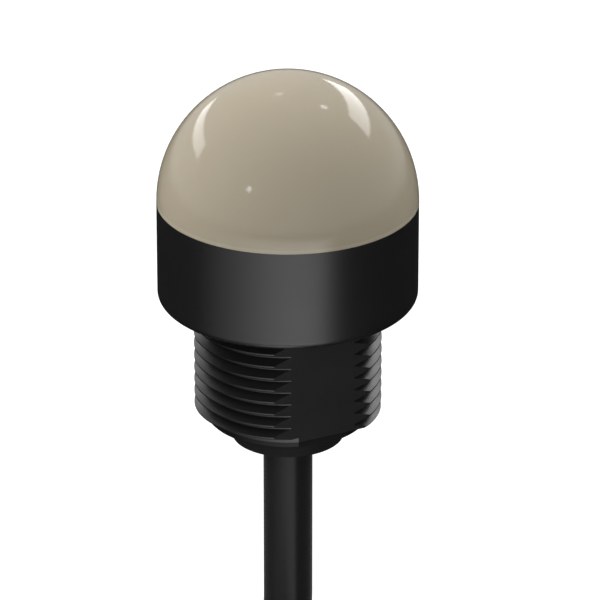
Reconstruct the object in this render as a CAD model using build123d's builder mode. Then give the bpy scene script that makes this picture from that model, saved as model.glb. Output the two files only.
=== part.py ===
from build123d import *
import math
import os

# A round dome indicator light that is fixed through a hole in a panel.
# Sizes are millimetres. The origin is on the lamp's axis, at the panel face that the base sits on.
# +Z points up through the dome. The two flats on the neck face +Y and -Y.

# Base, the drum that sits on the panel
base_diameter = 30.0
base_height = 12.0
base_foot_round = 1.0
base_wall = 2.4
base_floor = 2.4
board_ledge_width = 1.6
board_ledge_height = 6.0

# Threaded neck
thread_diameter = 21.7
thread_pitch = 1.5
thread_depth = 1.05
thread_crest_width = 0.15
thread_root_width = 0.12
thread_start_angle = -90.0
first_crest_height = 0.53
neck_length = 14.9
neck_flat_width = 17.9
neck_collar_diameter = 22.0
neck_collar_height = 1.0
neck_bore_diameter = 15.2
neck_end_wall = 1.5
neck_end_band = 0.7
neck_end_step = 0.35
neck_end_chamfer = 0.15
thread_lead_angle = 61.0

# Dome
dome_wall = 2.0
dome_ledge = 1.5
spigot_clearance = 0.1
spigot_wall = 2.1
spigot_chamfer = 0.3
seal_section = 1.0
seal_squeeze_room = 0.05
seal_depth = 1.7

# Boards
board_thickness = 1.6
board_clearance = 0.15
driver_board_width = 12.4
driver_board_thickness = 1.0
driver_board_top_gap = 0.1
driver_board_end_gap = 6.0
pin_count = 5
pin_pitch = 2.0
pin_diameter = 0.6
pin_hole_clearance = 0.12
pin_stick_out = 0.8
header_depth = 2.4
header_height = 2.0
header_end_margin = 1.2

# Packages on the driver board: width, height, thickness, lead width, lead reach
bridge_package = (4.7, 3.8, 2.4, 0.7, 1.0)
controller_package = (4.9, 3.9, 1.5, 0.4, 0.8)
regulator_package = (4.4, 2.4, 1.5, 0.5, 0.8)
transistor_package = (2.9, 1.2, 1.0, 0.4, 0.5)
bridge_lead_count = 2
controller_lead_count = 4
regulator_lead_count = 3
transistor_lead_count = 2
# Blocks with end caps: length, width, thickness, cap
suppressor_package = (4.6, 2.6, 2.2, 0.9)
resistor_package = (2.0, 1.25, 0.55, 0.4)
# Places on the driver board's faces: across, up
bridge_place = (0.0, -3.8)
controller_place = (-2.2, 1.6)
capacitor_place = (2.9, 1.6)
regulator_place = (-3.2, 1.2)
suppressor_place = (-3.2, -2.4)
transistor_column = 1.9
resistor_column = 4.9
channel_heights = (2.1, -0.5, -3.1)
capacitor_diameter = 4.0
capacitor_height = 4.5
capacitor_base_size = 4.3
capacitor_base_height = 0.8
capacitor_base_corner = 0.8
capacitor_rim_round = 0.3
chip_lead_thickness = 0.2
chip_stand_off = 0.1
chip_bevel_share = 0.12
cap_lift = 0.05

# Light emitters
led_count = 6
led_edge_gap = 0.6
led_size = 3.5
led_height = 1.2
led_window_diameter = 2.8
led_window_depth = 0.3
led_corner = 0.5

# Cable and its outlet
cable_diameter = 5.8
core_count = 5
core_diameter = 1.2
core_gap = 0.3
core_first_angle = 162.0
core_bend_radius = 0.9
jacket_stick_out = 0.4
core_straight = 0.6
core_pad_overhang = 0.2
core_pad_length = 2.4
core_strip_length = 4.0
core_wire_diameter = 0.7
back_pad_offset = 2.6
front_pad_offset = 3.9
bend_share = 0.45
grommet_diameter = 13.0
grommet_height = 2.65
grommet_waist_diameter = 10.0
grommet_flange_diameter = 12.4
grommet_flange_height = 1.2
potting_cover = 0.6
potting_clearance = 0.05

# Coiled length of the cable
coil_centre = (-27.9, -27.9)
coil_outer_radius = 39.5
coil_inner_radius = 26.0
coil_layers = 4
coil_layer_pitch = 5.9
coil_top_height = -79.2
coil_corner = 2.4
coil_slack = 0.2
tie_width = 4.8
tie_thickness = 1.2
tie_angle = 235.0
tie_head_length = 6.4
tie_head_width = 7.2
tie_head_height = 4.2
tie_tail_length = 9.0

# Cores: colour, pad position on the driver board; at the far end, spread to the side and shortfall
cores = [
    ("brown", -back_pad_offset, 7.0, 0.9),
    ("white", -front_pad_offset, 4.4, 0.5),
    ("blue", 0.0, 1.9, 1.2),
    ("black", front_pad_offset, -0.6, 0.2),
    ("grey", back_pad_offset, -2.9, 0.8),
]
lead_length = 14.5
lead_straight = 3.0
lead_drop_end = 9.0
lead_spread_share = 0.6
lead_bend_radius = 3.6

# Sizes that follow
base_radius = base_diameter / 2
cavity_radius = base_radius - base_wall
ledge_radius = cavity_radius - board_ledge_width
crest_radius = thread_diameter / 2
root_radius = crest_radius - thread_depth
neck_bore_radius = neck_bore_diameter / 2
neck_root = base_floor / 2
band_radius = root_radius - neck_end_step
end_wall_top = -neck_length + neck_end_wall
spigot_radius = cavity_radius - spigot_clearance
spigot_inner_radius = spigot_radius - spigot_wall
board_top = board_ledge_height + board_thickness
spigot_bottom = board_top + spigot_clearance
seal_height = base_height - seal_depth
board_radius = cavity_radius - board_clearance
led_ring_radius = math.sqrt(spigot_inner_radius**2 - (led_size / 2) ** 2) - led_edge_gap - led_size / 2
driver_face = driver_board_thickness / 2
driver_board_bottom = end_wall_top + driver_board_end_gap
core_pad_bottom = driver_board_bottom - core_pad_overhang
core_pad_top = core_pad_bottom + core_pad_length
driver_board_top = board_ledge_height - driver_board_top_gap
pin_hole_diameter = pin_diameter + 2 * pin_hole_clearance
pin_row = driver_face + header_depth / 2
pin_level = board_ledge_height - header_height / 2
cable_radius = cable_diameter / 2
core_radius = core_diameter / 2
core_ring_radius = (core_diameter + core_gap) / 2 / math.sin(math.pi / core_count)
grommet_bottom = -neck_length - grommet_height
flange_top = end_wall_top + grommet_flange_height
potting_top = flange_top + potting_cover
jacket_end = potting_top + jacket_stick_out
tail_height = coil_top_height - (coil_layers - 1) * coil_layer_pitch
coil_floor = tail_height - cable_radius - coil_slack
coil_roof = coil_top_height + cable_radius + coil_slack
coil_plane = Plane((*coil_centre, 0.0))

# Route of the cable from inside the neck to its coil, and of its loose end on the same surface
cable_route = [
    (0.0, 0.0, jacket_end),
    (0.0, 0.0, -46.5),
    (-4.6, 4.0, -60.2),
    (-14.2, 9.2, -70.4),
    (-28.1, 11.6, -76.7),
    (-43.5, 8.4, coil_top_height),
    (-55.8, 0.0, coil_top_height),
]
tail_route = [
    (-27.9, 11.6, tail_height),
    (-39.5, 11.9, tail_height),
    (-50.5, 11.2, tail_height),
]

os.makedirs("parts", exist_ok=True)


def finish(part, name):
    """Name a finished piece and write it as its own STEP file."""
    part.label = name
    export_step(part, f"parts/{name}.step")


def arc_radii(points):
    """The largest bend radius that each corner of a cord's route leaves room for."""
    corners = [Vector(*p) for p in points]
    radii = []
    for before, corner, after in zip(corners, corners[1:], corners[2:]):
        run_in = corner - before
        run_out = after - corner
        half_turn = math.radians(run_in.get_angle(run_out)) / 2
        radii.append(bend_share * min(run_in.length, run_out.length) / math.tan(half_turn))
    return radii


# Thread: one tooth and its root, followed round the helix a turn at a time
thread_bottom = -neck_length + neck_end_band
thread_top = -neck_collar_height / 2
flank_height = (thread_pitch - thread_crest_width - thread_root_width) / 2
first_crest = -neck_length + first_crest_height
tooth_bottom = first_crest - thread_crest_width / 2 - flank_height
tooth_outline = [
    (root_radius, tooth_bottom),
    (crest_radius, tooth_bottom + flank_height),
    (crest_radius, tooth_bottom + flank_height + thread_crest_width),
    (root_radius, tooth_bottom + 2 * flank_height + thread_crest_width),
    (root_radius, tooth_bottom + thread_pitch),
]
thread_turns = math.ceil((thread_top - tooth_bottom) / thread_pitch)


def helix(radius, height):
    """One right-hand turn, from the middle of the front flat."""
    turn = Edge.make_helix(thread_pitch, thread_pitch, radius, center=(0, 0, height))
    return turn.rotate(Axis.Z, thread_start_angle)


def thread_end(rise):
    """The two faces that close the thread at one end: a helicoid to the axis, and the tooth's section."""
    low = tooth_bottom + rise
    high = low + thread_pitch
    middle = Edge.make_line((0, 0, low), (0, 0, high))
    direction = Vector(1, 0, 0).rotate(Axis.Z, thread_start_angle)
    corners = [direction * radius + Vector(0, 0, height + rise) for radius, height in tooth_outline]
    section = Wire.make_polygon([(0, 0, low), *corners, (0, 0, high)], close=True)
    return [Face.make_surface_from_curves(helix(root_radius, low), middle), Face(section)]


thread_faces = thread_end(0) + thread_end(thread_turns * thread_pitch)
for turn in range(thread_turns):
    rise = turn * thread_pitch
    for (radius, height), (next_radius, next_height) in zip(tooth_outline, tooth_outline[1:]):
        near = helix(radius, height + rise)
        far = helix(next_radius, next_height + rise)
        thread_faces.append(Face.make_surface_from_curves(near, far))

# Neck: the thread, tapered where the nut starts, over a plain core with a collar under the base,
# and the two flats along all of it
taper_slope = math.tan(math.radians(thread_lead_angle))
taper_rise = (base_radius - band_radius) / taper_slope
taper_bottom = -neck_length + neck_end_chamfer
with BuildPart() as threaded_neck:
    add(Solid(Shell(thread_faces)))
    with BuildSketch(Plane.XZ):
        with BuildLine():
            Polyline(
                (0, thread_bottom),
                (band_radius + (thread_bottom - taper_bottom) * taper_slope, thread_bottom),
                (base_radius, taper_bottom + taper_rise),
                (base_radius, thread_top),
                (0, thread_top),
                close=True,
            )
        make_face()
    revolve(axis=Axis.Z, mode=Mode.INTERSECT)
    with BuildSketch(Plane.XY.offset(-neck_length)):
        Circle(band_radius)
    extrude(amount=neck_length + neck_root)
    chamfer(edges().group_by(Axis.Z)[0], neck_end_chamfer)
    with BuildSketch(Plane.XY.offset(-neck_collar_height)):
        Circle(neck_collar_diameter / 2)
    extrude(amount=neck_collar_height + neck_root)
    with BuildSketch(Plane.XY.offset(-neck_length)):
        Rectangle(base_diameter, neck_flat_width)
    extrude(amount=neck_length + neck_root, mode=Mode.INTERSECT)

# Housing: the drum and the neck in one moulding, hollow from the dome to the cable's outlet
with BuildPart() as base_housing:
    with BuildSketch():
        Circle(base_radius)
    extrude(amount=base_height)
    fillet(edges().group_by(Axis.Z)[0], base_foot_round)
    add(threaded_neck.part)
    with BuildSketch(Plane.XY.offset(board_ledge_height)):
        Circle(cavity_radius)
    extrude(amount=base_height - board_ledge_height, mode=Mode.SUBTRACT)
    with BuildSketch(Plane.XY.offset(base_floor)):
        Circle(ledge_radius)
    extrude(amount=board_ledge_height - base_floor, mode=Mode.SUBTRACT)
    with BuildSketch(Plane.XY.offset(end_wall_top)):
        Circle(neck_bore_radius)
    extrude(amount=base_floor - end_wall_top, mode=Mode.SUBTRACT)
    with BuildSketch(Plane.XY.offset(-neck_length)):
        Circle(grommet_waist_diameter / 2)
    extrude(amount=neck_end_wall, mode=Mode.SUBTRACT)
finish(base_housing.part, "base_housing")

# Dome: a hemisphere flush with the drum, with a spigot that carries the seal
dome_inner_radius = base_radius - dome_wall
ledge_reach = math.sqrt(dome_inner_radius**2 - dome_ledge**2)
seal_groove_radius = spigot_radius - seal_section - seal_squeeze_room + spigot_clearance
seal_groove_half = seal_section / 2 + seal_squeeze_room
with BuildPart() as dome_lens:
    with BuildSketch(Plane.XZ):
        with BuildLine():
            CenterArc((0, base_height), base_radius, 0, 90)
            Line((0, base_height + base_radius), (0, base_height + dome_inner_radius))
            CenterArc(
                (0, base_height),
                dome_inner_radius,
                90,
                math.degrees(math.asin(dome_ledge / dome_inner_radius)) - 90,
            )
            Polyline(
                (ledge_reach, base_height + dome_ledge),
                (spigot_inner_radius, base_height + dome_ledge),
                (spigot_inner_radius, spigot_bottom),
                (spigot_radius - spigot_chamfer, spigot_bottom),
                (spigot_radius, spigot_bottom + spigot_chamfer),
                (spigot_radius, seal_height - seal_groove_half),
                (seal_groove_radius, seal_height - seal_groove_half),
                (seal_groove_radius, seal_height + seal_groove_half),
                (spigot_radius, seal_height + seal_groove_half),
                (spigot_radius, base_height),
                (base_radius, base_height),
            )
        make_face()
    revolve(axis=Axis.Z)
finish(dome_lens.part, "dome_lens")

# Seal: a ring in the spigot's groove, against the drum's wall
seal_ring_radius = (seal_groove_radius + cavity_radius) / 2
with BuildPart() as dome_seal:
    with BuildSketch(Plane.XZ):
        with Locations((seal_ring_radius, seal_height)):
            Circle(seal_section / 2)
    revolve(axis=Axis.Z)
finish(dome_seal.part, "dome_seal")

# Light board: rests on the drum's ledge under the spigot
with BuildPart() as led_board:
    with BuildSketch(Plane.XY.offset(board_ledge_height)):
        Circle(board_radius)
        with Locations((0, pin_row)):
            with GridLocations(pin_pitch, 0, pin_count, 1):
                Circle(pin_hole_diameter / 2, mode=Mode.SUBTRACT)
    extrude(amount=board_thickness)
finish(led_board.part, "led_board")

# Light emitters: one white package each, with a round window and one marked corner
led_places = PolarLocations(led_ring_radius, led_count).locations
for number, place in enumerate(led_places, start=1):
    with BuildPart() as led:
        with BuildSketch(Plane(place).offset(board_top)):
            Rectangle(led_size, led_size)
            chamfer(vertices()[0], led_corner)
        extrude(amount=led_height)
        with BuildSketch(faces().sort_by(Axis.Z)[-1]):
            Circle(led_window_diameter / 2)
        extrude(amount=-led_window_depth, mode=Mode.SUBTRACT)
    finish(led.part, f"led_{number}")

# Driver board: stands in the neck, its top edge under the light board
with BuildPart() as driver_board:
    with BuildSketch(Plane.XZ.offset(-driver_face)):
        with Locations((0, (driver_board_top + driver_board_bottom) / 2)):
            Rectangle(driver_board_width, driver_board_top - driver_board_bottom)
        with Locations((0, pin_level)):
            with GridLocations(pin_pitch, 0, pin_count, 1):
                Circle(pin_hole_diameter / 2, mode=Mode.SUBTRACT)
    extrude(amount=driver_board_thickness)
finish(driver_board.part, "driver_board")

# Header: angled pins through both boards, in a block that lies in the corner between them
with BuildPart() as header_pins:
    for place in GridLocations(pin_pitch, 0, pin_count, 1).locations:
        pin_x = place.position.X
        with BuildLine():
            FilletPolyline(
                (pin_x, -driver_face - pin_stick_out, pin_level),
                (pin_x, pin_row, pin_level),
                (pin_x, pin_row, board_top + pin_stick_out),
                radius=pin_diameter,
            )
        with BuildSketch(Plane((pin_x, -driver_face - pin_stick_out, pin_level), z_dir=(0, 1, 0))):
            Circle(pin_diameter / 2)
        sweep()
finish(header_pins.part, "header_pins")

header_width = (pin_count - 1) * pin_pitch + 2 * header_end_margin
with BuildPart() as header_block:
    with BuildSketch(Plane.XY.offset(board_ledge_height - header_height)):
        with Locations((0, pin_row)):
            Rectangle(header_width, header_depth)
    extrude(amount=header_height)
    chamfer(edges().filter_by(Axis.Z).sort_by(Axis.Y)[-2:], pin_diameter / 2)
    add(header_pins.part, mode=Mode.SUBTRACT)
finish(header_block.part, "header_block")


def board_plane(front, x, z):
    """A plane on one face of the driver board, its normal pointing away from the board."""
    side = -1 if front else 1
    return Plane((x, side * driver_face, z), x_dir=(1, 0, 0), z_dir=(0, side, 0))


def leaded_chip(plane, leads, width, height, thickness, lead_width, lead_reach):
    """A moulded chip with a row of flat leads along each of its two long sides."""
    outward = Axis(plane.origin, plane.z_dir)
    with BuildPart() as chip:
        with BuildSketch(plane.offset(chip_stand_off)):
            Rectangle(width, height)
        extrude(amount=thickness - chip_stand_off)
        chamfer(faces().sort_by(outward)[-1].edges(), thickness * chip_bevel_share)
        with BuildSketch(plane):
            with GridLocations(width / leads, height + lead_reach - chip_lead_thickness, leads, 2):
                Rectangle(lead_width, lead_reach + chip_lead_thickness)
        extrude(amount=chip_lead_thickness)
        with BuildSketch(plane):
            with GridLocations(width / leads, height + chip_lead_thickness, leads, 2):
                Rectangle(lead_width, chip_lead_thickness)
        extrude(amount=thickness / 2)
    return chip.part


def end_capped_block(plane, length, width, thickness, cap):
    """A small block component with a raised metal cap at each end."""
    with BuildPart() as block:
        with BuildSketch(plane.offset(cap_lift)):
            Rectangle(length - 2 * cap, width - 2 * cap_lift)
        extrude(amount=thickness - 2 * cap_lift)
        with BuildSketch(plane):
            with GridLocations(length - cap, 0, 2, 1):
                Rectangle(cap, width)
        extrude(amount=thickness)
    return block.part


# Parts on the driver board's two faces
bridge_plane = board_plane(True, *bridge_place)
controller_plane = board_plane(True, *controller_place)
regulator_plane = board_plane(False, *regulator_place)
suppressor_plane = board_plane(False, *suppressor_place)
finish(leaded_chip(bridge_plane, bridge_lead_count, *bridge_package), "bridge_rectifier")
finish(leaded_chip(controller_plane, controller_lead_count, *controller_package), "controller")
finish(leaded_chip(regulator_plane, regulator_lead_count, *regulator_package), "regulator")
finish(end_capped_block(suppressor_plane, *suppressor_package), "surge_suppressor")
for number, height in enumerate(channel_heights, start=1):
    transistor_plane = board_plane(False, transistor_column, height)
    transistor = leaded_chip(transistor_plane, transistor_lead_count, *transistor_package)
    finish(transistor, f"transistor_{number}")
    resistor_plane = board_plane(False, resistor_column, height)
    finish(end_capped_block(resistor_plane, *resistor_package), f"resistor_{number}")

# Capacitor: a can on a square base with two cut corners
capacitor_plane = board_plane(True, *capacitor_place)
with BuildPart() as smoothing_capacitor:
    with BuildSketch(capacitor_plane):
        Rectangle(capacitor_base_size, capacitor_base_size)
        chamfer(vertices()[:2], capacitor_base_corner)
    extrude(amount=capacitor_base_height)
    with BuildSketch(capacitor_plane.offset(capacitor_base_height)):
        Circle(capacitor_diameter / 2)
    extrude(amount=capacitor_height - capacitor_base_height)
    fillet(faces().sort_by(Axis.Y)[0].edges(), capacitor_rim_round)
finish(smoothing_capacitor.part, "smoothing_capacitor")

# Grommet: grips the cable and is held in the neck's end wall between its boss and its flange
with BuildPart() as cable_grommet:
    with BuildSketch(Plane.XZ):
        with BuildLine():
            Polyline(
                (cable_radius, grommet_bottom),
                (grommet_diameter / 2, grommet_bottom),
                (grommet_diameter / 2, -neck_length),
                (grommet_waist_diameter / 2, -neck_length),
                (grommet_waist_diameter / 2, end_wall_top),
                (grommet_flange_diameter / 2, end_wall_top),
                (grommet_flange_diameter / 2, flange_top),
                (cable_radius, flange_top),
                close=True,
            )
        make_face()
    revolve(axis=Axis.Z)
finish(cable_grommet.part, "cable_grommet")

# Potting: resin over the grommet's flange, up to just below the jacket's end
with BuildPart() as potting:
    with BuildSketch(Plane.XZ):
        with BuildLine():
            Polyline(
                (grommet_flange_diameter / 2 + potting_clearance, end_wall_top),
                (neck_bore_radius - potting_clearance, end_wall_top),
                (neck_bore_radius - potting_clearance, potting_top),
                (cable_radius + potting_clearance, potting_top),
                (cable_radius + potting_clearance, flange_top),
                (grommet_flange_diameter / 2 + potting_clearance, flange_top),
                close=True,
            )
        make_face()
    revolve(axis=Axis.Z)
finish(potting.part, "potting")

# Cores inside the neck: from the jacket's end up to their pads on the driver board's two faces
core_angles = [core_first_angle + index * 360 / core_count for index in range(core_count)]
core_row = driver_face + core_radius
core_knee = jacket_end + core_straight
core_order = sorted(core_angles, key=lambda angle: math.cos(math.radians(angle)))
for index, (colour, pad_x, _, _) in enumerate(cores):
    angle = math.radians(core_order[index])
    start_x = core_ring_radius * math.cos(angle)
    start_y = core_ring_radius * math.sin(angle)
    pad_y = math.copysign(core_row, start_y)
    with BuildPart() as inner_lead:
        with BuildLine():
            FilletPolyline(
                (start_x, start_y, jacket_end),
                (start_x, start_y, core_knee),
                (pad_x, pad_y, core_pad_bottom),
                (pad_x, pad_y, core_pad_top),
                radius=core_bend_radius,
            )
        with BuildSketch(Plane((start_x, start_y, jacket_end))):
            Circle(core_radius)
        sweep()
    finish(inner_lead.part, f"inner_lead_{colour}")

# Cable: the stretch that hangs from the grommet and runs into its coil
with BuildPart() as cable:
    with BuildLine():
        FilletPolyline(*cable_route, radius=arc_radii(cable_route))
    with BuildSketch(Plane(cable_route[0], z_dir=(0, 0, -1))):
        Circle(cable_radius)
    sweep()
finish(cable.part, "cable")

# Loose end: lies on the surface that the coil lies on
tail_start = Vector(*tail_route[0])
tail_heading = Vector(*tail_route[1]) - tail_start
with BuildPart() as cable_tail:
    with BuildLine():
        FilletPolyline(*tail_route, radius=arc_radii(tail_route))
    with BuildSketch(Plane(tail_route[0], z_dir=tail_heading)):
        Circle(cable_radius)
    sweep()
finish(cable_tail.part, "cable_tail")

# Coil: the outer shape of the turns, with the cable let in where it joins and leaves
coil_ring_inner = coil_inner_radius - cable_radius
coil_ring_outer = coil_outer_radius + cable_radius
with BuildPart() as cable_coil:
    with BuildSketch(coil_plane.offset(coil_floor)):
        Circle(coil_ring_outer)
        Circle(coil_ring_inner, mode=Mode.SUBTRACT)
    extrude(amount=coil_roof - coil_floor)
    fillet(edges().filter_by(GeomType.CIRCLE), coil_corner)
    add(cable.part, mode=Mode.SUBTRACT)
    add(cable_tail.part, mode=Mode.SUBTRACT)
finish(cable_coil.part, "cable_coil")

# Tie: a strap once round the bundle of turns, with its head and cut end on top
tie_outward = Vector(1, 0, 0).rotate(Axis.Z, tie_angle)
tie_inner = math.sqrt(coil_ring_inner**2 - (tie_width / 2) ** 2)
bundle_width = coil_ring_outer - tie_inner
bundle_height = coil_roof - coil_floor
bundle_middle = Vector(*coil_centre, 0) + tie_outward * (tie_inner + coil_ring_outer) / 2
tie_origin = bundle_middle + Vector(0, 0, (coil_floor + coil_roof) / 2)
tie_plane = Plane(tie_origin, x_dir=tie_outward, z_dir=tie_outward.cross(Vector(0, 0, 1)))
tie_top = bundle_middle + Vector(0, 0, coil_roof + tie_thickness)
tie_top_plane = Plane(tie_top, x_dir=tie_outward, z_dir=(0, 0, 1))
with BuildPart() as coil_tie:
    with BuildSketch(tie_plane):
        RectangleRounded(
            bundle_width + 2 * tie_thickness,
            bundle_height + 2 * tie_thickness,
            coil_corner + tie_thickness,
        )
        RectangleRounded(bundle_width, bundle_height, coil_corner, mode=Mode.SUBTRACT)
    extrude(amount=tie_width / 2, both=True)
    with BuildSketch(tie_top_plane):
        Rectangle(tie_head_length, tie_head_width)
    extrude(amount=tie_head_height)
    with BuildSketch(tie_top_plane.offset(tie_thickness)):
        with Locations((tie_tail_length / 2, 0)):
            Rectangle(tie_tail_length, tie_width)
    extrude(amount=tie_thickness)
finish(coil_tie.part, "coil_tie")

# Stripped cores at the cable's far end, fanned out on the surface
lead_ends = []
tail_end = Vector(*tail_route[-1])
tail_forward = (tail_end - Vector(*tail_route[-2])).normalized()
tail_side = Vector(-tail_forward.Y, tail_forward.X, 0)
for index, (colour, _, spread, lag) in enumerate(cores):
    angle = math.radians(core_order[index])
    start_side = -core_ring_radius * math.cos(angle)
    start_rise = core_ring_radius * math.sin(angle)
    start = tail_end + tail_side * start_side + Vector(0, 0, start_rise)
    drop = Vector(0, 0, coil_floor + core_radius - start.Z)
    landing = start + tail_forward * lead_drop_end + tail_side * (lead_spread_share * spread) + drop
    tip = start + tail_forward * (lead_length - lag) + tail_side * spread + drop
    with BuildPart() as outer_lead:
        with BuildLine():
            FilletPolyline(
                start,
                start + tail_forward * lead_straight,
                landing,
                tip,
                radius=lead_bend_radius,
            )
        with BuildSketch(Plane(start, z_dir=tail_forward)):
            Circle(core_radius)
        sweep()
    finish(outer_lead.part, f"outer_lead_{colour}")
    lead_ends.append(Plane(tip, z_dir=tip - landing))

# Bare conductors: they stand out of the five cores' ends
with BuildPart() as wire_tips:
    for lead_end in lead_ends:
        with BuildSketch(lead_end):
            Circle(core_wire_diameter / 2)
        extrude(amount=core_strip_length)
finish(wire_tips.part, "wire_tips")
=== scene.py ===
import math

import bpy
from mathutils import Matrix, Vector


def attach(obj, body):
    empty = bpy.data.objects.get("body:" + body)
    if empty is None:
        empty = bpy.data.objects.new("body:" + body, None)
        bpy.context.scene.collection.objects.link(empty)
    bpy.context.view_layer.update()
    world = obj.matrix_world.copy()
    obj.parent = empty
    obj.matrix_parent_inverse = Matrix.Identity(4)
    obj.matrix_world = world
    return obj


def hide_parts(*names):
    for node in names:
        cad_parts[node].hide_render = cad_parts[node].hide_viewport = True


# A round dome indicator light, in metres and degrees unless a comment gives another unit
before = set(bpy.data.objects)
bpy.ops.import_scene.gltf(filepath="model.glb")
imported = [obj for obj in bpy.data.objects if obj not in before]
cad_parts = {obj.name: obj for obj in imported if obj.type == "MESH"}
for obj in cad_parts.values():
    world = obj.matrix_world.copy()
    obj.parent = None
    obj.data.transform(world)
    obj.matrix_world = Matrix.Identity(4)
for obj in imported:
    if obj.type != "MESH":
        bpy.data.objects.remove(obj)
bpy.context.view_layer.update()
MM = 0.001

# Camera: its angles round the lamp and above it, its distance, and its shift right and upwards
VIEW_TURN = 26.3
VIEW_ELEVATION = 25.0
VIEW_DISTANCE = 602.58 * MM
VIEW_RIGHT = 1.4 * MM
VIEW_UP = -0.52 * MM

# Sensor and lens of the camera, in millimetres
SENSOR_WIDTH = 36.0
LENS = 314.4

# Centre of the dome, which is also the middle of the studio
DOME_CENTRE = Vector((0, 0, 12 * MM))

# Diameter of the cable and its route from inside the neck to its coil, in millimetres
CABLE_DIAMETER = 5.8
CABLE_ROUTE = [
    (0.0, 0.0, -11.2),
    (0.0, 0.0, -31.0),
    (0.0, 0.0, -46.5),
    (-4.6, 4.0, -60.2),
    (-14.2, 9.2, -70.4),
    (-28.1, 11.6, -76.7),
    (-43.5, 8.4, -79.2),
    (-55.8, 0.0, -79.2),
]

# Coil of the cable, in millimetres: its centre, the radii of its turns and its layers' heights
COIL_CENTRE = (-27.9, -27.9)
COIL_OUTER = 39.5
COIL_INNER = 26.0
COIL_HEIGHTS = [-79.2, -85.1, -91.0, -96.9]

# Angles of the coil: where it starts and ends, where the route ends, and from point to point
COIL_TURNS = 9
COIL_FIRST_ANGLE = 113.0
COIL_LAST_ANGLE = 90.0 + COIL_TURNS * 360.0
ROUTE_END_ANGLE = 135.0
COIL_STEP = 15.0

# Angle over which a turn moves down to the next layer
LAYER_MOVE = 54.0

# Loose end of the cable, in millimetres
TAIL_ROUTE = [
    (-27.9, 11.6, -96.9),
    (-39.5, 11.9, -96.9),
    (-50.5, 11.2, -96.9),
]

# Floor under the coil, and the share of it that is white in itself, so that its shadows stay soft
FLOOR_HEIGHT = -101.3 * MM
FLOOR_SIZE = 6.0
FLOOR_GREY = (0.8, 0.8, 0.8, 1)
FLOOR_GLOW_SHARE = 0.6
FLOOR_GLOW = 1.38

# Even light from all sides
WHITE = (1, 1, 1, 1)
AMBIENT = 0.54

# Distance of the lamps and bright cards from the dome's centre
STUDIO_DISTANCE = 0.5

# Soft boxes: name, angle to the right of the camera's side, angle above the dome, power in watts
LAMP_SIZE = 0.3
LAMPS = [
    ("left_lamp", -120, 25, 0.85),
    ("left_front_lamp", -75, 35, 0.87),
    ("top_lamp", 0, 85, 0.64),
    ("right_lamp", 140, 40, 1.25),
]

# Small round lamps, given in the same way
SPOT_RADIUS = 20 * MM
SPOTS = [
    ("front_spot", -38.3, 28.5, 0.036),
    ("right_spot", 142.9, 53.2, 0.025),
    ("back_spot", -172.8, 50.5, 0.01),
]

# Bright cards: name, corners by the same two angles, strength
CARDS = [
    ("left_card", [(-158.3, 10.6), (-152.7, 8.6), (-104.3, 20.0), (-111.1, 28.3)], 4.0),
    ("right_card", [(170.9, 10.9), (164.1, 8.6), (116.5, 28.7), (130.6, 40.0)], 4.4),
]

# Dark card on the floor, and the strength of its lit sector
FLOOR_CARD_RADIUS = 1.5
FLOOR_CARD_LIFT = 0.05 * MM
FLOOR_CARD_STRENGTH = 2.6

# Distances between which the floor card goes clear, and between which its glow dies away
FLOOR_CARD_CLEAR_REACH = (0.6, FLOOR_CARD_RADIUS)
FLOOR_CARD_GLOW_REACH = (0.25, 0.7)

# Share of that glow at some angles to the right of the camera's side
FLOOR_CARD_STOPS = [
    (-180.0, 0.003),
    (-80.0, 0.0),
    (-45.0, 0.35),
    (-15.0, 0.82),
    (0.0, 1.0),
    (26.0, 1.0),
    (42.0, 0.0),
    (180.0, 0.006),
]

# Colours of the outside
HOUSING_BLACK = (0.0085, 0.0085, 0.0089)
DOME_BEIGE = (0.37, 0.325, 0.245)
DOME_RIM_BEIGE = (0.41, 0.36, 0.27)
GROMMET_BLACK = (0.012, 0.012, 0.012)
CABLE_BLACK = (0.014, 0.014, 0.015)
TIE_BLACK = (0.02, 0.02, 0.021)
COPPER = (0.93, 0.48, 0.3)
CORE_COLOURS = {
    "brown": (0.09, 0.032, 0.012),
    "white": (0.74, 0.73, 0.69),
    "blue": (0.01, 0.06, 0.3),
    "black": (0.013, 0.013, 0.014),
    "grey": (0.22, 0.22, 0.22),
}

# Colours of the inside
SEAL_BLACK = (0.016, 0.016, 0.017)
RESIN_BLACK = (0.02, 0.02, 0.022)
BOARD_WHITE = (0.75, 0.75, 0.73)
BOARD_GREEN = (0.01, 0.12, 0.05)
PACKAGE_WHITE = (0.75, 0.74, 0.7)
GEL_YELLOW = (0.8, 0.55, 0.08)
HEADER_BLACK = (0.014, 0.014, 0.014)
CHIP_BLACK = (0.018, 0.018, 0.019)
CAN_SILVER = (0.78, 0.78, 0.79)
CAN_FOOT_BLACK = (0.02, 0.02, 0.02)
SUPPRESSOR_BLACK = (0.02, 0.02, 0.02)
RESISTOR_BLACK = (0.02, 0.022, 0.03)
GOLD = (0.83, 0.61, 0.27)
TIN = (0.72, 0.72, 0.7)

# Textures: a scale is in features to the metre, and a depth is in millimetres
GRAIN_DETAIL = 3.0
CLOUD_DETAIL = 2.0
CLOUD_SHARE = 1 / 12
MARK_SCALE = 4000.0
MARK_DEPTH = 0.003
MARK_UNEVENNESS = 0.1
WEAVE_SCALE = 900.0
WEAVE_DISTORTION = 0.4
WEAVE_DEPTH = 0.006
BOARD_CLOUD_SCALE = 300.0
BOARD_ROUGHNESS = (0.3, 0.42)

# Shine of the housing, and of the duller band round the neck's end
HOUSING_SPECULAR = 0.5
END_BAND_SPECULAR = 0.15

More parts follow.
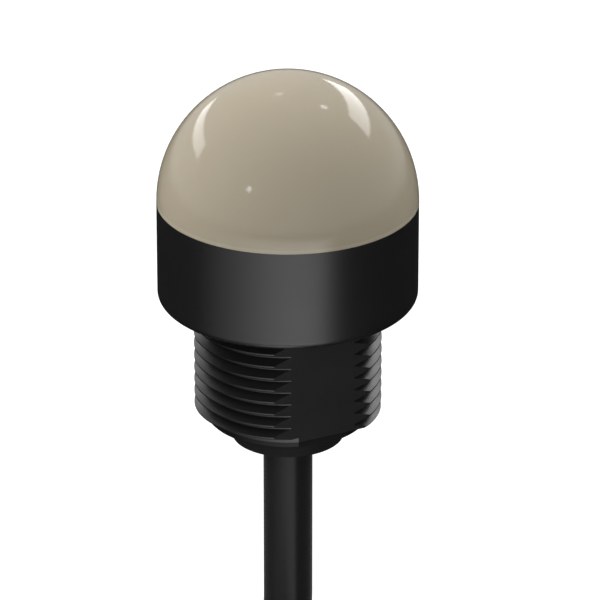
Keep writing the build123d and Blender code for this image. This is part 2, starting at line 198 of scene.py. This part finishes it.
# Places where one piece changes its material, in millimetres: the middle and the reach to each side
END_BAND = (-14.55, 0.36)
DOME_RIM = (12.0, 0.45)
LED_GEL = (8.5, 0.02)
SUPPRESSOR_BODY = (-3.2, 1.4)
RESISTOR_BODY = (4.9, 0.6)

# Face of the driver board, and the height of its parts' feet above it, in millimetres
BOARD_FACE = 0.5
CHIP_FOOT = 0.21
CAPACITOR_FOOT = 0.8

# Numbers of alike parts
LED_COUNT = 6
CHANNEL_COUNT = 3


def camera_axes():
    """The camera's right, up and back directions."""
    turn = math.radians(VIEW_TURN)
    rise = math.radians(VIEW_ELEVATION)
    towards = Vector((-math.sin(turn), -math.cos(turn), 0))
    right = Vector((math.cos(turn), -math.sin(turn), 0))
    back = towards * math.cos(rise) + Vector((0, 0, math.sin(rise)))
    return right, back.cross(right), back


def add_camera():
    """The camera, at the photograph's angle."""
    right, up, back = camera_axes()
    camera = bpy.data.objects.new("camera", bpy.data.cameras.new("camera"))
    camera.data.sensor_width = SENSOR_WIDTH
    camera.data.lens = LENS
    rotation = Matrix((right, up, back)).transposed()
    position = back * VIEW_DISTANCE + right * VIEW_RIGHT + up * VIEW_UP
    camera.matrix_world = Matrix.Translation(position) @ rotation.to_4x4()
    bpy.context.scene.collection.objects.link(camera)
    bpy.context.scene.camera = camera


def shader_parts(material):
    """A material's nodes, its links and its Principled shader."""
    nodes = material.node_tree.nodes
    return nodes, material.node_tree.links, nodes["Principled BSDF"]


def new_material(name):
    """A new material with its nodes, its links and its Principled shader."""
    material = bpy.data.materials.new(name)
    material.use_nodes = True
    return (material, *shader_parts(material))


def set_inputs(node, **inputs):
    """Sets some of a shader node's inputs by name."""
    for name, value in inputs.items():
        node.inputs[name.replace("_", " ")].default_value = value


def add_node(nodes, kind, **inputs):
    """A shader node with some of its inputs set by name."""
    node = nodes.new(kind)
    set_inputs(node, **inputs)
    return node


def noise(nodes, links, scale, detail, stretch=(1, 1, 1)):
    """Noise fixed to the object, drawn out along an axis by a low stretch."""
    place = nodes.new("ShaderNodeTexCoord")
    mapping = add_node(nodes, "ShaderNodeMapping", Scale=stretch)
    texture = add_node(nodes, "ShaderNodeTexNoise", Scale=scale, Detail=detail)
    links.new(place.outputs["Object"], mapping.inputs["Vector"])
    links.new(mapping.outputs["Vector"], texture.inputs["Vector"])
    return texture.outputs["Fac"]


def bump(nodes, links, shader, height, depth):
    """Raises the surface by a texture, with a depth in millimetres."""
    node = add_node(nodes, "ShaderNodeBump", Strength=1.0, Distance=depth * MM)
    links.new(height, node.inputs["Height"])
    links.new(node.outputs["Normal"], shader.inputs["Normal"])


def spread(nodes, links, value, target, low, high):
    """Sets an input by a texture or a mask, between two values."""
    node = add_node(nodes, "ShaderNodeMapRange", To_Min=low, To_Max=high)
    links.new(value, node.inputs["Value"])
    links.new(node.outputs["Result"], target)


def near(nodes, links, axis, centre, reach):
    """1 within reach of a place on the object's X, Y or Z axis, in millimetres, and 0 elsewhere."""
    place = nodes.new("ShaderNodeTexCoord")
    split = nodes.new("ShaderNodeSeparateXYZ")
    links.new(place.outputs["Object"], split.inputs["Vector"])
    compare = nodes.new("ShaderNodeMath")
    compare.operation = "COMPARE"
    links.new(split.outputs[axis], compare.inputs[0])
    compare.inputs[1].default_value = centre * MM
    compare.inputs[2].default_value = reach * MM
    return compare.outputs["Value"]


def paint(nodes, links, shader, mask, colour_off, colour_on):
    """One colour where the mask is 0 and another where it is 1."""
    ramp = nodes.new("ShaderNodeValToRGB")
    ramp.color_ramp.interpolation = "CONSTANT"
    stop_off, stop_on = ramp.color_ramp.elements
    stop_off.color = (*colour_off, 1)
    stop_on.color = (*colour_on, 1)
    stop_on.position = 0.5
    links.new(mask, ramp.inputs["Fac"])
    links.new(ramp.outputs["Color"], shader.inputs["Base Color"])


def moulded(name, colour, roughness=0.4, unevenness=0.05, grain_depth=0.004, grain_scale=2500.0):
    """Moulded plastic or rubber: a fine grain, and a little unevenness in its gloss."""
    material, nodes, links, shader = new_material(name)
    set_inputs(shader, Base_Color=(*colour, 1))
    bump(nodes, links, shader, noise(nodes, links, grain_scale, GRAIN_DETAIL), grain_depth)
    cloud = noise(nodes, links, grain_scale * CLOUD_SHARE, CLOUD_DETAIL)
    low = roughness - unevenness
    high = roughness + unevenness
    spread(nodes, links, cloud, shader.inputs["Roughness"], low, high)
    return material


def metal(name, colour, roughness, stretch):
    """Bare metal with fine drawing marks along one axis."""
    material, nodes, links, shader = new_material(name)
    set_inputs(shader, Base_Color=(*colour, 1), Metallic=1.0)
    marks = noise(nodes, links, MARK_SCALE, GRAIN_DETAIL, stretch)
    bump(nodes, links, shader, marks, MARK_DEPTH)
    low = roughness - MARK_UNEVENNESS
    high = roughness + MARK_UNEVENNESS
    spread(nodes, links, marks, shader.inputs["Roughness"], low, high)
    return material


def board_mask(name, colour, weave_axes):
    """Solder mask over woven glass: the weave shows faintly through the lacquer."""
    material, nodes, links, shader = new_material(name)
    set_inputs(shader, Base_Color=(*colour, 1), Coat_Weight=0.3)
    place = nodes.new("ShaderNodeTexCoord")
    weave = nodes.new("ShaderNodeMath")
    weave.operation = "MULTIPLY"
    for index, axis in enumerate(weave_axes):
        threads = add_node(nodes, "ShaderNodeTexWave", Scale=WEAVE_SCALE, Distortion=WEAVE_DISTORTION)
        threads.bands_direction = axis
        links.new(place.outputs["Object"], threads.inputs["Vector"])
        links.new(threads.outputs["Fac"], weave.inputs[index])
    bump(nodes, links, shader, weave.outputs["Value"], WEAVE_DEPTH)
    cloud = noise(nodes, links, BOARD_CLOUD_SCALE, CLOUD_DETAIL)
    spread(nodes, links, cloud, shader.inputs["Roughness"], *BOARD_ROUGHNESS)
    return material


def capped(name, body_colour, body):
    """A part with a coloured body in its middle, along X, and tinned metal beyond it."""
    material = moulded(name, body_colour, roughness=0.45)
    nodes, links, shader = shader_parts(material)
    mask = near(nodes, links, "X", *body)
    paint(nodes, links, shader, mask, TIN, body_colour)
    spread(nodes, links, mask, shader.inputs["Metallic"], 1.0, 0.0)
    return material


def footed(name, body_colour, foot_colour, foot_metal, foot_height):
    """A part on the driver board, with a foot next to the board: one is metal and the other isn't."""
    material = moulded(name, body_colour, roughness=0.45)
    nodes, links, shader = shader_parts(material)
    foot = near(nodes, links, "Y", 0.0, BOARD_FACE + foot_height)
    paint(nodes, links, shader, foot, body_colour, foot_colour)
    spread(nodes, links, foot, shader.inputs["Metallic"], 1.0 - foot_metal, foot_metal)
    return material


def housing_material():
    """Satin black plastic, duller on the band round the neck's end."""
    material = moulded(
        "housing_black",
        HOUSING_BLACK,
        roughness=0.34,
        unevenness=0.03,
        grain_depth=0.001,
        grain_scale=3000.0,
    )
    nodes, links, shader = shader_parts(material)
    band = near(nodes, links, "Z", *END_BAND)
    spread(nodes, links, band, shader.inputs["Specular IOR Level"], HOUSING_SPECULAR, END_BAND_SPECULAR)
    return material


def dome_material():
    """Glossy diffuser: beige-grey, a little light passing into it, paler at its thick rim."""
    material = moulded(
        "dome_diffuser",
        DOME_BEIGE,
        roughness=0.095,
        unevenness=0.01,
        grain_depth=0.0002,
        grain_scale=900.0,
    )
    nodes, links, shader = shader_parts(material)
    rim = near(nodes, links, "Z", *DOME_RIM)
    paint(nodes, links, shader, rim, DOME_BEIGE, DOME_RIM_BEIGE)
    set_inputs(
        shader,
        Specular_IOR_Level=0.4,
        Subsurface_Weight=0.25,
        Subsurface_Radius=(1.0, 0.8, 0.6),
        Subsurface_Scale=2 * MM,
    )
    return material


def grommet_material():
    """Grommet: matt black rubber."""
    material = moulded("grommet_rubber", GROMMET_BLACK, roughness=0.6, grain_depth=0.006)
    _, _, shader = shader_parts(material)
    set_inputs(shader, Specular_IOR_Level=0.1)
    return material


def cable_material():
    """Cable jacket: smooth black plastic with little gloss."""
    material = moulded("cable_jacket", CABLE_BLACK, roughness=0.26, unevenness=0.03, grain_depth=0.002)
    _, _, shader = shader_parts(material)
    set_inputs(shader, Specular_IOR_Level=0.13, Sheen_Weight=0.35, Sheen_Roughness=0.3)
    return material


def emitter_material():
    """Light emitter: a white package with yellow gel on the floor of its window."""
    material = moulded("led_package", PACKAGE_WHITE)
    nodes, links, shader = shader_parts(material)
    gel = near(nodes, links, "Z", *LED_GEL)
    paint(nodes, links, shader, gel, PACKAGE_WHITE, GEL_YELLOW)
    return material


def core_material(colour_name):
    """Thin insulation of one of the cable's cores."""
    colour = CORE_COLOURS[colour_name]
    return moulded(f"core_{colour_name}", colour, roughness=0.38, grain_depth=0.003, grain_scale=5000.0)


def tie_material():
    """Cable tie: black nylon."""
    return moulded(
        "tie_nylon",
        TIE_BLACK,
        roughness=0.48,
        unevenness=0.06,
        grain_depth=0.008,
        grain_scale=1500.0,
    )


def dress(material, *names):
    """Puts one material on CAD nodes."""
    for name in names:
        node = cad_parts[name]
        node.data.materials.clear()
        node.data.materials.append(material)


def numbered(name, count):
    """Names of alike nodes, from 1 on."""
    return [f"{name}_{number}" for number in range(1, count + 1)]


def dress_shell():
    """The surfaces that show from outside, without the cable."""
    dress(housing_material(), "base_housing")
    dress(dome_material(), "dome_lens")
    dress(grommet_material(), "cable_grommet")


def dress_seals():
    """The ring under the dome and the resin in the neck's end."""
    dress(moulded("seal_rubber", SEAL_BLACK, roughness=0.6, unevenness=0.08), "dome_seal")
    resin = moulded(
        "potting_resin",
        RESIN_BLACK,
        roughness=0.3,
        unevenness=0.1,
        grain_depth=0.03,
        grain_scale=400.0,
    )
    dress(resin, "potting")


def dress_boards():
    """The two boards, the emitters and the header that joins the boards."""
    dress(board_mask("board_white", BOARD_WHITE, "XY"), "led_board")
    dress(board_mask("board_green", BOARD_GREEN, "XZ"), "driver_board")
    dress(emitter_material(), *numbered("led", LED_COUNT))
    dress(moulded("header_plastic", HEADER_BLACK, roughness=0.5), "header_block")
    dress(metal("pin_gold", GOLD, roughness=0.3, stretch=(1, 1, 0.2)), "header_pins")


def dress_driver_parts():
    """The parts on the driver board."""
    chips = ["bridge_rectifier", "controller", "regulator", *numbered("transistor", CHANNEL_COUNT)]
    dress(footed("chip_epoxy", CHIP_BLACK, TIN, 1.0, CHIP_FOOT), *chips)
    can = footed("capacitor_can", CAN_SILVER, CAN_FOOT_BLACK, 0.0, CAPACITOR_FOOT)
    dress(can, "smoothing_capacitor")
    dress(capped("suppressor_body", SUPPRESSOR_BLACK, SUPPRESSOR_BODY), "surge_suppressor")
    resistors = numbered("resistor", CHANNEL_COUNT)
    dress(capped("resistor_body", RESISTOR_BLACK, RESISTOR_BODY), *resistors)


def dress_leads():
    """The cable's coloured cores at both ends, their bare conductors, and the tie."""
    for colour_name in CORE_COLOURS:
        dress(core_material(colour_name), f"inner_lead_{colour_name}", f"outer_lead_{colour_name}")
    dress(metal("copper_wire", COPPER, roughness=0.32, stretch=(0.3, 1, 1)), "wire_tips")
    dress(tie_material(), "coil_tie")


def layer_height(angle, span):
    """Height of the turns at an angle: flat in a layer, with an even slope down to the next one."""
    height = COIL_HEIGHTS[0]
    for layer in range(1, len(COIL_HEIGHTS)):
        change = COIL_FIRST_ANGLE + layer * span
        share = min(max((angle - change) / LAYER_MOVE + 0.5, 0), 1)
        height += (COIL_HEIGHTS[layer] - COIL_HEIGHTS[layer - 1]) * share
    return height


def coil_points():
    """Control points of the coil's turns: four layers, each a spiral, in and out by turns."""
    span = (COIL_LAST_ANGLE - COIL_FIRST_ANGLE) / len(COIL_HEIGHTS)
    stretch = 1 / math.cos(math.radians(COIL_STEP / 2))
    points = []
    angle = ROUTE_END_ANGLE + COIL_STEP
    while angle < COIL_LAST_ANGLE - COIL_STEP / 2:
        run = (angle - COIL_FIRST_ANGLE) / span
        layer = min(int(run), len(COIL_HEIGHTS) - 1)
        share = run - layer
        inwards = share if layer % 2 == 0 else 1 - share
        radius = (COIL_OUTER + (COIL_INNER - COIL_OUTER) * inwards) * stretch
        x = COIL_CENTRE[0] + radius * math.cos(math.radians(angle))
        y = COIL_CENTRE[1] + radius * math.sin(math.radians(angle))
        points.append((x, y, layer_height(angle, span)))
        angle += COIL_STEP
    return points


def cable_line():
    """One smooth line from the neck into the coil and out to the loose end, as thick as the cable."""
    points = CABLE_ROUTE + coil_points() + TAIL_ROUTE
    curve = bpy.data.curves.new("cable_line", "CURVE")
    curve.dimensions = "3D"
    spline = curve.splines.new("NURBS")
    spline.points.add(len(points) - 1)
    for point, place in zip(spline.points, points):
        point.co = (*(value * MM for value in place), 1)
    spline.order_u = 3
    spline.use_endpoint_u = True
    spline.resolution_u = 6
    curve.bevel_depth = CABLE_DIAMETER / 2 * MM
    curve.bevel_resolution = 8
    curve.use_fill_caps = True
    return curve


def add_cable():
    """The cable as one smooth line from the neck through its coil to its loose end, in place of the
    CAD's own cable pieces, which it hides.
    """
    cable = bpy.data.objects.new("cable_run", cable_line())
    bpy.context.scene.collection.objects.link(cable)
    cable.data.materials.append(cable_material())
    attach(cable, "root")
    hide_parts("cable", "cable_coil", "cable_tail")


def direction(azimuth, elevation):
    """A direction given by its angle to the right of the camera's side, and its height."""
    turn = math.radians(azimuth - VIEW_TURN - 90)
    rise = math.radians(elevation)
    return Vector((math.cos(turn) * math.cos(rise), math.sin(turn) * math.cos(rise), math.sin(rise)))


def place_light(name, light, azimuth, elevation):
    """Puts a light in its place, facing the dome and out of the camera's sight."""
    lamp = bpy.data.objects.new(name, light)
    outward = direction(azimuth, elevation)
    lamp.rotation_euler = outward.to_track_quat("Z", "Y").to_euler()
    lamp.location = DOME_CENTRE + outward * STUDIO_DISTANCE
    lamp.visible_camera = False
    bpy.context.scene.collection.objects.link(lamp)
    return lamp


def add_lamp(name, azimuth, elevation, power):
    """A soft box that lights the object, and that reflections don't show."""
    light = bpy.data.lights.new(name, "AREA")
    light.size = LAMP_SIZE
    light.energy = power
    lamp = place_light(name, light, azimuth, elevation)
    lamp.visible_glossy = False


def add_spot(name, azimuth, elevation, power):
    """A small round lamp, which shows as a bright dot in the dome's gloss."""
    light = bpy.data.lights.new(name, "AREA")
    light.shape = "DISK"
    light.size = 2 * SPOT_RADIUS
    light.energy = power
    place_light(name, light, azimuth, elevation)


def add_sheet(name, corners, material):
    """A flat piece of the studio with four corners, which isn't part of the object."""
    mesh = bpy.data.meshes.new(name)
    mesh.from_pydata(corners, [], [(0, 1, 2, 3)])
    mesh.materials.append(material)
    piece = bpy.data.objects.new(name, mesh)
    bpy.context.scene.collection.objects.link(piece)
    return piece


def add_level_square(name, half, height, material):
    """A level square of the studio, with its middle on the lamp's axis."""
    corners = [(-half, -half, 0), (half, -half, 0), (half, half, 0), (-half, half, 0)]
    square = add_sheet(name, corners, material)
    square.location.z = height
    return square


def reflections_only(piece):
    """Lets nothing but reflections show a piece."""
    piece.visible_camera = False
    piece.visible_diffuse = False
    piece.visible_transmission = False
    piece.visible_shadow = False


def mix_shaders(nodes, links, share, first, second):
    """The first shader where the share is 0, the second where it is 1."""
    mix = nodes.new("ShaderNodeMixShader")
    links.new(share, mix.inputs["Fac"])
    links.new(first, mix.inputs[1])
    links.new(second, mix.inputs[2])
    return mix.outputs["Shader"]


def add_card(name, corners, strength):
    """A bright card whose reflection gives the dome one of its two crescents."""
    material, nodes, links, _ = new_material(name)
    glow = add_node(nodes, "ShaderNodeEmission", Strength=strength)
    links.new(glow.outputs["Emission"], nodes["Material Output"].inputs["Surface"])
    places = [DOME_CENTRE + direction(*corner) * STUDIO_DISTANCE for corner in corners]
    reflections_only(add_sheet(name, places, material))


def distance_fade(nodes, links, distance, reach, start_value, end_value):
    """A smooth change from one value to another between two distances."""
    fade = add_node(nodes, "ShaderNodeMapRange", From_Min=reach[0], From_Max=reach[1])
    fade.interpolation_type = "SMOOTHSTEP"
    set_inputs(fade, To_Min=start_value, To_Max=end_value)
    links.new(distance, fade.inputs["Value"])
    return fade.outputs["Result"]


def sector_share(nodes, links, place):
    """Share of the floor card's glow at each angle, as a grey."""
    turn = nodes.new("ShaderNodeTexGradient")
    turn.gradient_type = "RADIAL"
    links.new(place, turn.inputs["Vector"])
    ramp = nodes.new("ShaderNodeValToRGB")
    links.new(turn.outputs["Fac"], ramp.inputs["Fac"])
    stops = ramp.color_ramp.elements
    while len(stops) < len(FLOOR_CARD_STOPS):
        stops.new(1.0)
    for stop, (azimuth, share) in zip(stops, FLOOR_CARD_STOPS):
        stop.position = azimuth / 360 + 0.5
        stop.color = (share, share, share, 1)
    return ramp.outputs["Color"]


def add_floor_card():
    """A dark card on the floor, with a lit sector in front, that the drum's wall reflects."""
    material, nodes, links, _ = new_material("floor_card")
    place = nodes.new("ShaderNodeTexCoord").outputs["Object"]
    length = nodes.new("ShaderNodeVectorMath")
    length.operation = "LENGTH"
    links.new(place, length.inputs[0])
    distance = length.outputs["Value"]
    glow = nodes.new("ShaderNodeEmission")
    links.new(sector_share(nodes, links, place), glow.inputs["Color"])
    strength = distance_fade(nodes, links, distance, FLOOR_CARD_GLOW_REACH, FLOOR_CARD_STRENGTH, 0.0)
    links.new(strength, glow.inputs["Strength"])
    clear = nodes.new("ShaderNodeBsdfTransparent")
    share = distance_fade(nodes, links, distance, FLOOR_CARD_CLEAR_REACH, 0.0, 1.0)
    surface = mix_shaders(nodes, links, share, glow.outputs["Emission"], clear.outputs["BSDF"])
    links.new(surface, nodes["Material Output"].inputs["Surface"])
    card = add_level_square("floor_card", FLOOR_CARD_RADIUS, FLOOR_HEIGHT + FLOOR_CARD_LIFT, material)
    card.rotation_euler.z = math.radians(-VIEW_TURN - 90)
    reflections_only(card)


def add_floor():
    """A pale floor, which keeps shadows and is white to the camera where it is lit."""
    material, nodes, links, shader = new_material("floor")
    set_inputs(shader, Base_Color=FLOOR_GREY, Roughness=0.9, Specular_IOR_Level=0.0)
    path = nodes.new("ShaderNodeLightPath")
    share = nodes.new("ShaderNodeMath")
    share.operation = "MULTIPLY"
    share.inputs[1].default_value = FLOOR_GLOW_SHARE
    links.new(path.outputs["Is Camera Ray"], share.inputs[0])
    white = add_node(nodes, "ShaderNodeEmission", Strength=FLOOR_GLOW)
    surface = mix_shaders(
        nodes,
        links,
        share.outputs["Value"],
        shader.outputs["BSDF"],
        white.outputs["Emission"],
    )
    links.new(surface, nodes["Material Output"].inputs["Surface"])
    add_level_square("floor", FLOOR_SIZE / 2, FLOOR_HEIGHT, material)


def add_world():
    """White behind the object, and a weaker even light on it."""
    world = bpy.data.worlds.new("studio")
    bpy.context.scene.world = world
    world.use_nodes = True
    nodes = world.node_tree.nodes
    links = world.node_tree.links
    ambient = nodes["Background"]
    set_inputs(ambient, Color=WHITE, Strength=AMBIENT)
    white = add_node(nodes, "ShaderNodeBackground", Color=WHITE, Strength=1.0)
    path = nodes.new("ShaderNodeLightPath")
    surface = mix_shaders(
        nodes,
        links,
        path.outputs["Is Camera Ray"],
        ambient.outputs["Background"],
        white.outputs["Background"],
    )
    links.new(surface, nodes["World Output"].inputs["Surface"])


add_camera()
add_cable()
dress_shell()
dress_seals()
dress_boards()
dress_driver_parts()
dress_leads()
add_floor()
add_world()
for lamp in LAMPS:
    add_lamp(*lamp)
for card in CARDS:
    add_card(*card)
add_floor_card()
for spot in SPOTS:
    add_spot(*spot)
bpy.context.scene.view_settings.view_transform = "Standard"
